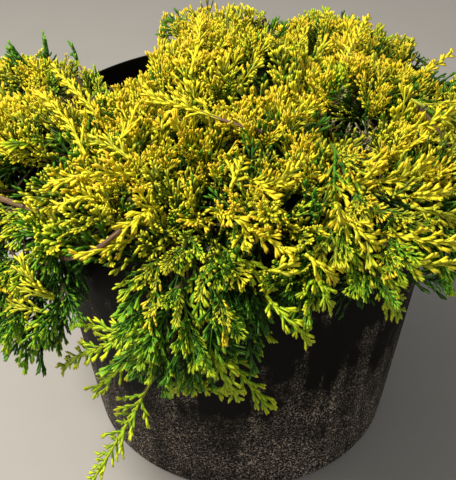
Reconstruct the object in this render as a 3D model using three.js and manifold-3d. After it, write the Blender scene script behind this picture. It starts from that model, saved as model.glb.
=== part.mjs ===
// A golden spreading juniper in a round black nursery pot.
// Millimetres, +Z up. The origin is the middle of the pot's flat underside. The photograph's view looks along +Y.
import * as THREE from "three";
import { mergeVertices } from "three/addons/utils/BufferGeometryUtils.js";
import Module from "manifold-3d";

const wasm = await Module();
wasm.setup();

// Pot and soil
const potHeight = 178;
const footRadius = 88;
const rimRadius = 110;
const rimDepth = 13;
const rimOverhang = 3;
const wallThickness = 2.2;
const footChamfer = 2;
const soilBelowRim = 32;
const seatGap = 0.3;
const potSides = 40;
const rimTop = potHeight;
const soilTop = potHeight - soilBelowRim;

// Trunk
const trunkRadius = 11;
const trunkTipRadius = 6.5;
const trunkHeight = 38;
const flareRadius = 16;
const flareHeight = 7;
const trunkLean = new THREE.Vector3(-3, 4, 0);
const trunkSides = 14;

// Boughs
const boughSides = 6;
const boughSteps = 2;

// Masses: fullness is the power of a mass's rounded box, where 2 is an ellipsoid. The core's shares are of the
// way to the skin, in the open and beside a neighbour.
const fullness = 2.7;
const coreShare = 0.7;
const fillShare = 0.86;
const clearance = 0.6;
const awayFromOthers = 1.15;
const lowestLeaf = 6;

// Stems, twigs and sprays
const stemRadii = [1.7, 1.5, 1.1];
const stemSides = 5;
const twigRadii = [1.1, 0.8];
const twigSides = 3;
const sprayThickness = 1.5;
const sprayLength = 30;
const sprayWidth = 18;
const sprayRoll = 1.9;
const outShare = 0.9;
const forwardShare = 0.6;
const sunkLength = 4;

// Crown: tiers of foliage masses round the trunk. An open wedge at the back left shows the pot's rim.
// reach is half a mass's size along its growth, wide is across it and level, thick is across both.
// foot is where its stem starts, as a share of its reach behind its middle.
const tiers = [
  {
    name: "crest", count: 1, from: 60, to: 60, out: 0, level: 0, rise: 86, foot: 0.85,
    reach: 28, wide: 48, thick: 48, whorl: 38, boughRadius: 0, ways: 30,
  },
  {
    name: "crown", count: 6, from: 102, to: 402, out: 64, level: 193, rise: 62, foot: 0.62,
    reach: 31, wide: 43, thick: 41, whorl: 32, boughRadius: 2.4, ways: 32,
  },
  {
    name: "shoulder", count: 9, from: 163, to: 457, out: 104, level: 184, rise: 11, foot: 0.5,
    reach: 44, wide: 48, thick: 32, whorl: 22, boughRadius: 2.8, ways: 31,
  },
  {
    name: "skirt", count: 9, from: 150, to: 438, out: 128, level: 159, rise: -58, foot: 0.4,
    reach: 36, wide: 50, thick: 26, whorl: 11, boughRadius: 3.2, ways: 25,
  },
];

// Lobes where a tier is raised, stands further out, is swollen or, with flat below nought, thinned.
const lobes = [
  { tier: "crown", azimuth: 102, spread: 20, raise: -13, out: 2, grow: -0.12, flat: 0 },
  { tier: "crown", azimuth: 162, spread: 20, raise: -8, out: -5, grow: -0.2, flat: -0.12 },
  { tier: "crown", azimuth: 42, spread: 20, raise: -4, out: 10, grow: 0, flat: 0 },
  { tier: "shoulder", azimuth: 160, spread: 16, raise: -2, out: 6, grow: -0.12, flat: -0.45 },
  { tier: "shoulder", azimuth: 45, spread: 42, raise: -3, out: -2, grow: -0.1, flat: -0.58 },
  { tier: "shoulder", azimuth: 100, spread: 15, raise: -5, out: -3, grow: -0.05, flat: -0.4 },
  { tier: "skirt", azimuth: 150, spread: 18, raise: -20, out: 0, grow: -0.05, flat: 0 },
  { tier: "skirt", azimuth: 222, spread: 18, raise: -13, out: 0, grow: 0.04, flat: 0 },
  { tier: "skirt", azimuth: 312, spread: 30, raise: 27, out: -2, grow: -0.1, flat: 0 },
];

// Shoots that reach past the masses, each from the mass named to its furthest tip, bowed outwards by its bow.
const shoots = [
  { mass: "skirt_4", tip: [-84, -101, 24], bow: 14 },
  { mass: "skirt_4", tip: [-74, -114, 106], bow: 3 },
  { mass: "skirt_4", tip: [9, -131, 108], bow: 0 },
  { mass: "skirt_5", tip: [67, -113, 145], bow: 0 },
  { mass: "shoulder_7", tip: [123, 66, 192], bow: 0 },
  { mass: "shoulder_1", tip: [-128, 62, 200], bow: 0 },
];

const colours = {
  pot: 0x1d1b19,
  soil: 0x2e241b,
  bark: 0x6d5138,
  foliage: 0xb4b01f,
};

const up = new THREE.Vector3(0, 0, 1);
const goldenAngle = Math.PI * (3 - Math.sqrt(5));
const radians = THREE.MathUtils.degToRad;
const { lerp, clamp, smoothstep } = THREE.MathUtils;

// The same row of numbers for the same seed.
function seeded(seed) {
  let a = seed >>> 0;
  return () => {
    a = (a + 0x6d2b79f5) >>> 0;
    let t = a;
    t = Math.imul(t ^ (t >>> 15), t | 1);
    t ^= t + Math.imul(t ^ (t >>> 7), t | 61);
    return ((t ^ (t >>> 14)) >>> 0) / 4294967296;
  };
}

function solid(geometry) {
  const bare = geometry.clone();
  bare.deleteAttribute("normal");
  bare.deleteAttribute("uv");
  const merged = mergeVertices(bare, 1e-4);
  return new wasm.Manifold(
    new wasm.Mesh({
      numProp: 3,
      vertProperties: new Float32Array(merged.attributes.position.array),
      triVerts: new Uint32Array(merged.index.array),
    }),
  );
}

function geometryOf(manifold) {
  const mesh = manifold.getMesh();
  const step = mesh.numProp;
  const positions = new Float32Array(mesh.numVert * 3);
  for (let i = 0; i < mesh.numVert; i++) {
    positions.set(mesh.vertProperties.subarray(i * step, i * step + 3), i * 3);
  }
  const geometry = new THREE.BufferGeometry();
  geometry.setAttribute("position", new THREE.BufferAttribute(positions, 3));
  geometry.setIndex(new THREE.BufferAttribute(new Uint32Array(mesh.triVerts), 1));
  return geometry;
}

// A closed tube of flat sides through points, with a radius at each.
function limbGeometry(points, radii, sides) {
  const positions = [];
  const faces = [];
  let side = null;
  points.forEach((point, i) => {
    const before = points[Math.max(i - 1, 0)];
    const after = points[Math.min(i + 1, points.length - 1)];
    const along = after.clone().sub(before).normalize();
    if (!side) {
      const square = Math.abs(along.z) > 0.9 ? new THREE.Vector3(1, 0, 0) : up;
      side = new THREE.Vector3().crossVectors(along, square);
    }
    side.addScaledVector(along, -side.dot(along)).normalize();
    const other = new THREE.Vector3().crossVectors(along, side);
    for (let k = 0; k < sides; k++) {
      const turn = (2 * Math.PI * k) / sides;
      const corner = point.clone()
        .addScaledVector(side, radii[i] * Math.cos(turn))
        .addScaledVector(other, radii[i] * Math.sin(turn));
      positions.push(corner.x, corner.y, corner.z);
    }
  });
  for (let i = 0; i < points.length - 1; i++) {
    for (let k = 0; k < sides; k++) {
      const a = i * sides + k;
      const b = i * sides + ((k + 1) % sides);
      faces.push(a, b, b + sides, a, b + sides, a + sides);
    }
  }
  const last = (points.length - 1) * sides;
  for (let k = 1; k < sides - 1; k++) {
    faces.push(0, k + 1, k);
    faces.push(last, last + k, last + k + 1);
  }
  const geometry = new THREE.BufferGeometry();
  geometry.setAttribute("position", new THREE.Float32BufferAttribute(positions, 3));
  geometry.setIndex(faces);
  return geometry;
}

function mesh(name, geometry, colour, roughness = 0.8) {
  const part = new THREE.Mesh(
    geometry,
    new THREE.MeshStandardMaterial({ color: colour, roughness, metalness: 0, flatShading: true }),
  );
  part.name = name;
  return part;
}

function turnedGeometry(profile) {
  const points = profile.map(([r, z]) => new THREE.Vector2(r, z));
  return new THREE.LatheGeometry(points, potSides).rotateX(Math.PI / 2);
}

// Radius of the pot's outer wall at a height, without the rim.
function wallRadius(z) {
  const top = rimRadius - rimOverhang;
  return footRadius + ((top - footRadius) * z) / (potHeight - rimDepth);
}

function potGeometry() {
  const rimFoot = potHeight - rimDepth;
  const inside = (z) => wallRadius(Math.min(z, rimFoot)) - wallThickness;
  return turnedGeometry([
    [0, 0],
    [footRadius - footChamfer, 0],
    [footRadius, footChamfer],
    [wallRadius(rimFoot), rimFoot],
    [rimRadius - 1, rimFoot + 1.5],
    [rimRadius, potHeight - 1.5],
    [rimRadius - 1, potHeight],
    [rimRadius - wallThickness, potHeight],
    [rimRadius - wallThickness - 0.6, rimFoot + 3],
    [inside(rimFoot), rimFoot],
    [inside(wallThickness), wallThickness],
    [0, wallThickness],
  ]);
}

function soilGeometry() {
  const foot = wallThickness + seatGap;
  const radiusAt = (z) => (wallRadius(z) - wallThickness) * Math.cos(Math.PI / potSides) - seatGap;
  return turnedGeometry([
    [0, foot],
    [radiusAt(foot), foot],
    [radiusAt(soilTop), soilTop],
    [0, soilTop],
  ]);
}

// Middle and radius of the trunk at a height above the soil.
function trunkAt(height) {
  const share = clamp(height / trunkHeight, 0, 1);
  const flare = Math.max(0, 1 - height / flareHeight);
  const radius = lerp(trunkRadius, trunkTipRadius, share) + (flareRadius - trunkRadius) * flare * flare;
  const middle = new THREE.Vector3(0, 0, soilTop + seatGap + height).addScaledVector(trunkLean, share);
  return { middle, radius };
}

function trunkGeometry() {
  const heights = [0, 2, 4.5, flareHeight, 13, 20, 29, trunkHeight];
  const places = heights.map(trunkAt);
  const points = places.map((p) => p.middle);
  const geometry = limbGeometry(points, places.map((p) => p.radius), trunkSides);
  // The first ring is turned square to the lean, so it is flattened on to the soil again.
  const position = geometry.attributes.position;
  for (let k = 0; k < trunkSides; k++) {
    position.setZ(k, soilTop + seatGap);
  }
  return geometry;
}

// How much the lobes raise or swell a tier at an azimuth.
function lobeAt(tier, azimuth, change) {
  return lobes.filter((lobe) => lobe.tier === tier.name).reduce((sum, lobe) => {
    const away = ((azimuth - lobe.azimuth + 540) % 360) - 180;
    return sum + lobe[change] * Math.exp(-((away / lobe.spread) ** 2));
  }, 0);
}

// The middle of a mass: its tier's radius and height, or for the crest a place over the trunk's tip.
function middleOf(tier, outward, out, level, grow, reach) {
  if (tier.boughRadius > 0) return outward.clone().multiplyScalar(out).setZ(level);
  return trunkAt(trunkHeight).middle.addScaledVector(up, 2 * seatGap).addScaledVector(grow, tier.foot * reach);
}

// Each mass: its middle, the way it grows, its three half sizes, and its seed.
function crownMasses() {
  const masses = [];
  tiers.forEach((tier, row) => {
    for (let i = 0; i < tier.count; i++) {
      const random = seeded(1000 * (row + 1) + 37 * i + 5);
      const step = tier.count > 1 ? (tier.to - tier.from) / (tier.count - 1) : 0;
      const azimuth = tier.from + i * step;
      const angle = radians(azimuth);
      const outward = new THREE.Vector3(Math.cos(angle), Math.sin(angle), 0);
      const across = new THREE.Vector3(-Math.sin(angle), Math.cos(angle), 0);
      const level = tier.level + lobeAt(tier, azimuth, "raise") + 4 * (random() - 0.5);
      const rise = radians(tier.rise + (random() - 0.5) * 10);
      const grow = outward.clone().multiplyScalar(Math.cos(rise)).addScaledVector(up, Math.sin(rise));
      const normal = new THREE.Vector3().crossVectors(grow, across);
      const size = (0.96 + 0.08 * random()) * (1 + lobeAt(tier, azimuth, "grow"));
      const out = tier.out + lobeAt(tier, azimuth, "out") + 5 * (random() - 0.5);
      const thick = tier.thick * size * (1 + lobeAt(tier, azimuth, "flat"));
      masses.push({
        name: tier.count > 1 ? `${tier.name}_${i + 1}` : tier.name,
        tier,
        middle: middleOf(tier, outward, out, level, grow, tier.reach * size),
        outward,
        across,
        grow,
        normal,
        half: [tier.reach * size, tier.wide * size, thick],
        seed: 7000 + 100 * row + i,
      });
    }
  });
  return masses;
}

// How far a point lies from the middle of a mass, in its half sizes: 1 is on its skin.
function depthIn(mass, point) {
  const d = point.clone().sub(mass.middle);
  const shares = [mass.grow, mass.across, mass.normal].map((axis, i) => Math.abs(d.dot(axis)) / mass.half[i]);
  return Math.pow(shares.reduce((sum, share) => sum + Math.pow(share, fullness), 0), 1 / fullness);
}

// Whether a point keeps to a mass's own side of every plane halfway to its neighbours.
function ownSide(mass, masses, point) {
  return masses.every((other) => {
    if (other === mass) return true;
    const between = other.middle.clone().sub(mass.middle);
    const distance = between.length();
    const reached = point.clone().sub(mass.middle).dot(between) / distance;
    const share = mass.half[1] / (mass.half[1] + other.half[1]);
    return reached < distance * share - clearance;
  });
}

// Whether a point is clear of the pot: a skirt mass hangs outside the rim, the others stay over it.
function clearOfPot(mass, point) {
  if (mass.tier.name === "skirt") {
    return point.z > lowestLeaf && point.dot(mass.outward) > rimRadius + clearance;
  }
  return point.z > rimTop + clearance;
}

function nearestOnLine(point, a, b) {
  const line = b.clone().sub(a);
  const share = clamp(point.clone().sub(a).dot(line) / line.lengthSq(), 0, 1);
  return { gap: point.distanceTo(a.clone().addScaledVector(line, share)), share };
}

function clearOfLimbs(point, limbs) {
  return limbs.every((limb) => {
    for (let i = 0; i < limb.points.length - 1; i++) {
      const { gap, share } = nearestOnLine(point, limb.points[i], limb.points[i + 1]);
      if (gap < lerp(limb.radii[i], limb.radii[i + 1], share) + clearance) return false;
    }
    return true;
  });
}

function footOf(mass) {
  return mass.middle.clone().addScaledVector(mass.grow, -mass.tier.foot * mass.half[0]);
}

// The way a tier's boughs take before the mass's foot, as radius and height: skirt boughs climb over the rim.
const boughWays = {
  crown: [[30, 176]],
  shoulder: [[46, 165.5]],
  skirt: [[58, 155.5], [92, 169], [105.5, 184], [114.5, 182]],
};

function boughFor(mass) {
  const { tier, outward } = mass;
  const random = seeded(mass.seed + 50);
  const { middle, radius } = trunkAt(tier.whorl);
  const tip = footOf(mass).addScaledVector(mass.grow, -seatGap - 0.2);
  // The trunk's side slopes, so a bough's upright end stands off by as much again at its lower edge.
  const slope = Math.abs(trunkRadius - trunkTipRadius - trunkLean.dot(outward)) / trunkHeight;
  const reach = radius / Math.cos(Math.PI / trunkSides) + slope * tier.boughRadius;
  const start = middle.clone().addScaledVector(outward, reach + seatGap);
  const level = start.clone().addScaledVector(outward, 4);
  const sway = 5 * (random() - 0.5);
  const onWay = boughWays[tier.name].map(([r, z], i) => outward.clone().multiplyScalar(r).setZ(z)
    .addScaledVector(mass.across, i === 0 ? sway : 0));
  const curve = new THREE.CatmullRomCurve3([level, ...onWay, tip], false, "centripetal");
  const points = [start, ...curve.getSpacedPoints(onWay.length * boughSteps)];
  const tipRadius = Math.max(1.2, tier.boughRadius * 0.55);
  const radii = points.map((_, i) => lerp(tier.boughRadius, tipRadius, i / (points.length - 1)));
  return { name: `bough_${mass.name}`, points, radii };
}

// A spray: a thin blade with a pointed tip and a lobe at each side.
function sprayGeometry(start, along, flat, length, width) {
  const outline = [
    [0, 0.08], [0.6, 0.5], [0.68, 0.15], [1, 0], [0.8, -0.13], [0.72, -0.5], [0, -0.08],
  ];
  const wide = new THREE.Vector3().crossVectors(flat, along).normalize();
  const face = new THREE.Vector3().crossVectors(along, wide).normalize();
  const shape = new THREE.Shape(outline.map(([x, y]) => new THREE.Vector2(x * length, y * width)));
  const geometry = new THREE.ExtrudeGeometry(shape, { depth: sprayThickness, bevelEnabled: false });
  geometry.translate(0, 0, -sprayThickness / 2);
  geometry.applyMatrix4(new THREE.Matrix4().makeBasis(along, wide, face).setPosition(start));
  return geometry;
}

function cornersOf(geometry) {
  const position = geometry.attributes.position;
  const corners = [];
  for (let i = 0; i < position.count; i++) {
    corners.push(new THREE.Vector3().fromBufferAttribute(position, i));
  }
  return corners;
}

// How far a line from a mass's middle runs before it leaves the space named by the test.
function runOf(mass, way, test) {
  let near = 0;
  let far = 1.3 * Math.max(...mass.half);
  for (let k = 0; k < 14; k++) {
    const mid = (near + far) / 2;
    if (test(mass.middle.clone().addScaledVector(way, mid))) near = mid;
    else far = mid;
  }
  return near;
}

// The sprays of a mass, by rule: ways at the golden angle from its middle, kept where they reach open air.
function spraysOf(mass, belongs) {
  const random = seeded(mass.seed);
  const count = mass.tier.ways;
  const sprays = [];
  for (let i = 0; i < count; i++) {
    const forward = 1 - (2 * (i + 0.5)) / count;
    const turn = i * goldenAngle + 0.6 * random();
    const side = Math.sqrt(1 - forward * forward);
    const way = new THREE.Vector3()
      .addScaledVector(mass.grow, forward)
      .addScaledVector(mass.across, side * Math.cos(turn))
      .addScaledVector(mass.normal, side * Math.sin(turn));
    const skin = runOf(mass, way, (point) => depthIn(mass, point) < 1);
    const own = runOf(mass, way, belongs);
    const roll = random() - 0.5;
    const tipShare = 0.95 + 0.05 * random();
    if (forward < -0.75 || own < skin * 0.96) continue;
    sprays.push({ way, tip: mass.middle.clone().addScaledVector(way, skin * tipShare), roll });
  }
  return sprays;
}

function coreSolid(mass, belongs) {
  const core = new THREE.IcosahedronGeometry(1, 1);
  const position = core.attributes.position;
  for (let i = 0; i < position.count; i++) {
    const corner = new THREE.Vector3().fromBufferAttribute(position, i);
    const way = new THREE.Vector3()
      .addScaledVector(mass.grow, corner.x)
      .addScaledVector(mass.across, corner.y)
      .addScaledVector(mass.normal, corner.z);
    const skin = runOf(mass, way, (point) => depthIn(mass, point) < 1);
    const own = runOf(mass, way, belongs);
    // Beside a neighbour the core fills out to its own side; in the open it leaves room for the sprays.
    const open = smoothstep(own / skin, 0.9, 1.25);
    const share = lerp(fillShare, coreShare, open);
    const place = mass.middle.clone().addScaledVector(way, Math.max(3, Math.min(skin * share, own)));
    position.setXYZ(i, place.x, place.y, place.z);
  }
  return solid(core);
}

function massSolid(mass, masses, limbs, sleeves) {
  const foot = footOf(mass);
  const belongs = (point) =>
    clearOfPot(mass, point) && clearOfLimbs(point, limbs) && ownSide(mass, masses, point);
  const stemPoints = [foot, foot.clone().lerp(mass.middle, 0.5), mass.middle.clone()];
  let body = solid(limbGeometry(stemPoints, stemRadii, stemSides)).add(coreSolid(mass, belongs));

  spraysOf(mass, belongs).forEach(({ way, tip, roll }) => {
    const along = way.clone().multiplyScalar(outShare).addScaledVector(mass.grow, forwardShare).normalize();
    const start = tip.clone().addScaledVector(along, -sprayLength);
    const flat = way.clone().addScaledVector(along, -way.dot(along));
    if (flat.lengthSq() < 0.01) flat.crossVectors(mass.across, along);
    flat.normalize().applyAxisAngle(along, sprayRoll * roll);
    const blade = sprayGeometry(start, along, flat, sprayLength, sprayWidth);
    if (!cornersOf(blade).every(belongs)) return;
    const sunk = start.clone().addScaledVector(along, sunkLength);
    const twig = limbGeometry([mass.middle, sunk], twigRadii, twigSides);
    body = body.add(solid(twig)).add(solid(blade));
  });
  shoots.filter((shoot) => shoot.mass === mass.name).forEach((shoot) => {
    body = body.add(shootSolid(mass, shoot, masses));
  });
  sleeves.forEach((sleeve) => {
    if (body.intersect(sleeve).volume() > 0) body = body.subtract(sleeve);
  });
  return largestPiece(body);
}

function largestPiece(body) {
  return body.decompose().reduce((best, piece) => (piece.volume() > best.volume() ? piece : best));
}

// The room that a limb needs: the limb itself, thicker all round and longer at both ends.
function sleeveFor(limb, sides) {
  const { points, radii } = limb;
  const last = points.length - 1;
  const longer = (end, next) => end.clone().addScaledVector(end.clone().sub(next).normalize(), seatGap);
  const first = longer(points[0], points[1]);
  const end = longer(points[last], points[last - 1]);
  const wider = radii.map((radius) => radius + 2 * seatGap);
  return solid(limbGeometry([first, ...points.slice(1, -1), end], wider, sides));
}

// A long shoot: a three-sided stem that sags to its tip, with blades at both sides.
function shootSolid(mass, shoot, masses) {
  const isFree = (point) => ownSide(mass, masses, point) ||
    masses.every((other) => other === mass || depthIn(other, point) > awayFromOthers);
  const start = mass.middle.clone();
  const tip = new THREE.Vector3(...shoot.tip);
  const middle = start.clone().lerp(tip, 0.5).addScaledVector(mass.outward, shoot.bow);
  const curve = new THREE.QuadraticBezierCurve3(start, middle, tip);
  const points = curve.getPoints(5);
  const radii = points.map((_, i) => lerp(stemRadii[1], twigRadii[1], i / 5));
  let body = solid(limbGeometry(points, radii, twigSides));
  const length = curve.getLength();
  const blades = Math.max(2, Math.round(length / 22));
  for (let i = 1; i < blades; i++) {
    const share = 0.35 + (0.6 * i) / blades;
    const place = curve.getPoint(share);
    const tangent = curve.getTangent(share);
    const across = new THREE.Vector3().crossVectors(tangent, mass.outward).normalize();
    const away = tangent.clone().multiplyScalar(0.8).addScaledVector(across, i % 2 ? 0.6 : -0.6).normalize();
    const root = place.clone().addScaledVector(away, -1);
    const blade = sprayGeometry(root, away, mass.outward.clone(), sprayLength * 0.8, sprayWidth * 0.7);
    if (cornersOf(blade).every(isFree)) body = body.add(solid(blade));
  }
  return body;
}

const plant = new THREE.Group();
plant.add(mesh("pot", potGeometry(), colours.pot, 0.6));
plant.add(mesh("soil", soilGeometry(), colours.soil, 1));
plant.add(mesh("trunk", trunkGeometry(), colours.bark));

const masses = crownMasses();
const trunkHeights = [0, flareHeight, trunkHeight / 2, trunkHeight].map(trunkAt);
const trunk = {
  points: trunkHeights.map((place) => place.middle),
  radii: trunkHeights.map((place) => place.radius),
};
const boughs = masses.filter((mass) => mass.tier.boughRadius > 0).map(boughFor);
boughs.forEach((bough) => {
  plant.add(mesh(bough.name, limbGeometry(bough.points, bough.radii, boughSides), colours.bark));
});
const limbs = [trunk, ...boughs];
const sleeves = [sleeveFor(trunk, trunkSides), ...boughs.map((bough) => sleeveFor(bough, boughSides))];
masses.forEach((mass) => {
  const foliage = massSolid(mass, masses, limbs, sleeves);
  plant.add(mesh(`foliage_${mass.name}`, geometryOf(foliage), colours.foliage, 0.7));
});

export default plant;
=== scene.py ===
"""A golden spreading juniper in a round black nursery pot.

The plant's rule is the one of the part's source, with the same named sizes in millimetres. Here each mass
is grown from finer twigs and sprays of scale leaves. Blender's objects are in metres.
"""

import math
from types import SimpleNamespace

import bpy
import numpy as np
from mathutils import Matrix, Vector


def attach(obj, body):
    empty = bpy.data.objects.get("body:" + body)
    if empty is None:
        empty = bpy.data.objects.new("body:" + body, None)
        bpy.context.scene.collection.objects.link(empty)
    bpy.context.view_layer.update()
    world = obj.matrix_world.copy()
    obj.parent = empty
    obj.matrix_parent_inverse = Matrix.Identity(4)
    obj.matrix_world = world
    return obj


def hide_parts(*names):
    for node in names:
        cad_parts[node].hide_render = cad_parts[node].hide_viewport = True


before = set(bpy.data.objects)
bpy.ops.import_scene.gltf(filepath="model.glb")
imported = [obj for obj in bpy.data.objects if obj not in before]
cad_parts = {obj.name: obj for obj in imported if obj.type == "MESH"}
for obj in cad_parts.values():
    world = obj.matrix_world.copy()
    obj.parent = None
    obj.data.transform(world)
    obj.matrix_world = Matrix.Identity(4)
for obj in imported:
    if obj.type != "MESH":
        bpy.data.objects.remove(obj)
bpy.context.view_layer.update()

METRES = 0.001
UP = np.array([0.0, 0.0, 1.0])
GOLDEN_ANGLE = math.pi * (3 - math.sqrt(5))

# Pot and soil
POT_HEIGHT = 178
FOOT_RADIUS = 88
RIM_RADIUS = 110
RIM_DEPTH = 13
RIM_OVERHANG = 3
WALL_THICKNESS = 2.2
SOIL_BELOW_RIM = 32
SOIL_TOP = POT_HEIGHT - SOIL_BELOW_RIM
SEAT_GAP = 0.3
POT_SEGMENTS = 160

# Crumbs to a square metre, and their smallest and largest size in metres
CRUMB_VALUES = {"Density": 90000.0, "Smallest": 0.0022, "Largest": 0.0062}
CRUMB_RING = 48

# Trunk
TRUNK_RADIUS = 11
TRUNK_TIP_RADIUS = 6.5
TRUNK_HEIGHT = 38
FLARE_RADIUS = 16
FLARE_HEIGHT = 7
TRUNK_LEAN = np.array([-3.0, 4.0, 0.0])
TRUNK_SIDES = 14

# Masses
FULLNESS = 2.7
CLEARANCE = 0.6
LOWEST_LEAF = 6

# How far a tuft points away from its mass's middle, along the mass's own growth, and up to the light.
OUT_SHARE = {"crest": 0.28, "crown": 0.28, "shoulder": 0.32, "skirt": 0.5}
FORWARD_SHARE = {"crest": 0.4, "crown": 0.45, "shoulder": 0.62, "skirt": 0.66}
LIGHT_SHARE = {"crest": 0.9, "crown": 0.85, "shoulder": 0.6, "skirt": 0.0}

# How deep in its mass a spray's tip ends, as a share of the mass's half sizes.
TIP_DEPTH = {"crest": 0.88, "crown": 0.86, "shoulder": 0.91, "skirt": 0.92}

TIERS = [
    dict(name="crest", count=1, start=60, end=60, out=0, level=0, rise=86, foot=0.85,
         reach=28, wide=48, thick=48, whorl=38, bough_radius=0, ways=30),
    dict(name="crown", count=6, start=102, end=402, out=64, level=193, rise=62, foot=0.62,
         reach=31, wide=43, thick=41, whorl=32, bough_radius=2.4, ways=32),
    dict(name="shoulder", count=9, start=163, end=457, out=104, level=184, rise=11, foot=0.5,
         reach=44, wide=48, thick=32, whorl=22, bough_radius=2.8, ways=31),
    dict(name="skirt", count=9, start=150, end=438, out=128, level=159, rise=-58, foot=0.4,
         reach=36, wide=50, thick=26, whorl=11, bough_radius=3.2, ways=25),
]

# What each lobe changes round an azimuth of its tier.
LOBES = [
    dict(zip(("tier", "azimuth", "spread", "raised", "out", "grow", "flat"), row))
    for row in (
        ("crown", 102, 20, -13, 2, -0.12, 0),
        ("crown", 162, 20, -8, -5, -0.2, -0.12),
        ("crown", 42, 20, -4, 10, 0, 0),
        ("shoulder", 160, 16, -2, 6, -0.12, -0.45),
        ("shoulder", 45, 42, -3, -2, -0.1, -0.58),
        ("shoulder", 100, 15, -5, -3, -0.05, -0.4),
        ("skirt", 150, 18, -20, 0, -0.05, 0),
        ("skirt", 222, 18, -13, 0, 0.04, 0),
        ("skirt", 312, 30, 27, -2, -0.1, 0),
    )
]

# Long shoots that start in a mass, as in the part's source but for the fifth, whose tip is a little further
# out: the mass, the tip, how far it bows out, its width and its kind.
SHOOTS = [
    ("skirt_4", (-84, -101, 24), 14, 21, "bright_shoot"),
    ("skirt_4", (-74, -114, 106), 3, 19, "lime_shoot"),
    ("skirt_4", (9, -131, 108), 0, 17, "lime_shoot"),
    ("skirt_5", (67, -113, 145), 0, 16, "lime_shoot"),
    ("shoulder_7", (126, 66, 190), 0, 9, "gold_shoot"),
    ("shoulder_1", (-128, 62, 200), 0, 16, "green_shoot"),
]

# Shoots that lie on the crown: their width, their kind, how much of the stem is bare wood, and their path.
LAID_SHOOTS = [
    (15, "gold_shoot", 0.5, [
        (7, -70, 216), (-10, -60, 217), (-22, -54, 219), (-38, -50, 222), (-46, -46, 226),
    ]),
    (13, "gold_shoot", 0, [(-62, -46, 206), (-74, -32, 214), (-91, -6, 218)]),
    (12, "gold_shoot", 0, [(-70, -72, 208), (-80, -50, 213), (-95, -34, 221)]),
    (13, "gold_shoot", 0, [(-48, -86, 206), (-66, -98, 214), (-86, -94, 206)]),
    (12, "gold_shoot", 0.2, [(-54, -96, 200), (-68, -106, 208), (-86, -98, 196)]),
    (16, "gold_shoot", 0, [(33, -119, 210), (39, -125, 205), (45, -128, 200), (52, -127, 196)]),
    (10, "gold_shoot", 0, [(33, -120, 211), (33, -126, 209), (32, -129, 205)]),
    (14, "sun_shoot", 0, [(64, -115, 206), (76, -112, 200), (87, -105, 190)]),
    (14, "gold_shoot", 0, [(20, -134, 198), (27, -137, 193), (34, -133, 182)]),
    (13, "gold_shoot", 0, [(0, -122, 202), (8, -130, 201), (16, -137, 198)]),
    (13, "sun_shoot", 0, [(6, -134, 190), (11, -136, 193), (17, -135, 197)]),
    (13, "gold_shoot", 0, [(-8, -107, 212), (-4, -90, 211), (-1, -76, 208)]),
    (13, "sun_shoot", 0, [(-50, -81, 211), (-60, -68, 210), (-72, -60, 208)]),
    (13, "gold_shoot", 0, [(-57, -68, 210), (-51, -57, 214), (-48, -50, 221)]),
    (15, "gold_shoot", 0, [(48, -112, 192), (60, -123, 197), (76, -124, 194), (92, -114, 187)]),
    (14, "gold_shoot", 0, [(-38, -100, 199), (-46, -115, 203), (-56, -120, 196)]),
    (12, "gold_shoot", 0.3, [(-42, -104, 190), (-56, -121, 194), (-72, -124, 192)]),
    (15, "gold_shoot", 0.15, [(-2, -92, 206), (10, -108, 214), (24, -92, 216)]),
    (15, "gold_shoot", 0, [(58, -86, 195), (66, -108, 206), (84, -104, 207)]),
    (16, "gold_shoot", 0, [(48, -92, 204), (62, -98, 208), (76, -92, 216)]),
    (14, "sun_shoot", 0, [(52, -118, 186), (66, -130, 188), (84, -126, 186)]),
    (14, "gold_shoot", 0, [(32, -88, 200), (43, -100, 207), (54, -96, 213)]),
    (13, "gold_shoot", 0, [(66, -66, 212), (83, -62, 215), (96, -58, 220)]),
    (14, "lime_shoot", 0, [(30, -118, 194), (46, -132, 192), (58, -138, 180)]),
    (14, "gold_shoot", 0, [(-16, -96, 192), (-6, -124, 208), (6, -120, 194)]),
    (15, "lime_shoot", 0, [(-12, -112, 186), (-3, -129, 190), (8, -130, 176)]),
    (14, "sun_shoot", 0, [(-84, -112, 162), (-92, -114, 172), (-98, -106, 180)]),
    (14, "sun_shoot", 0, [(-84, -114, 162), (-98, -108, 163), (-112, -92, 153)]),
    (14, "sun_shoot", 0, [(-86, -116, 156), (-100, -108, 153), (-116, -90, 140)]),
    (13, "bright_shoot", 0, [(-86, -116, 152), (-98, -110, 143), (-112, -92, 126)]),
    (12, "gold_shoot", 0, [(-24, -24, 222), (-20, -6, 231), (-19, 14, 237)]),
    (12, "gold_shoot", 0, [(46, -24, 220), (60, 18, 220), (70, 40, 224)]),
    (15, "lime_shoot", 0, [(-20, -138, 160), (-14, -147, 150), (-6, -145, 128)]),
    (17, "bright_shoot", 0, [(-44, -132, 160), (-60, -126, 147), (-77, -112, 127), (-90, -93, 101)]),
    (14, "bright_shoot", 0, [(-42, -136, 146), (-27, -136, 132), (-9, -130, 118)]),
    (12, "lime_shoot", 0, [(-27, -138, 142), (-32, -134, 128), (-38, -125, 113)]),
    (13, "bright_shoot", 0, [(-50, -134, 158), (-64, -124, 154), (-78, -112, 146)]),
    (13, "bright_shoot", 0, [(5, -130, 175), (10, -141, 175), (17, -143, 168), (24, -139, 154)]),
    (12, "bright_shoot", 0, [(46, -124, 185), (50, -134, 182), (59, -129, 162)]),
    (12, "lime_shoot", 0, [(24, -130, 186), (27, -141, 185), (31, -140, 173)]),
    (12, "green_shoot", 0, [(-110, 34, 188), (-116, 42, 200), (-124, 48, 210)]),
    (12, "green_shoot", 0, [(-104, 34, 190), (-102, 42, 202), (-104, 50, 212)]),
    (12, "green_shoot", 0, [(-92, 52, 182), (-90, 64, 190), (-94, 74, 197)]),
]

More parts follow.
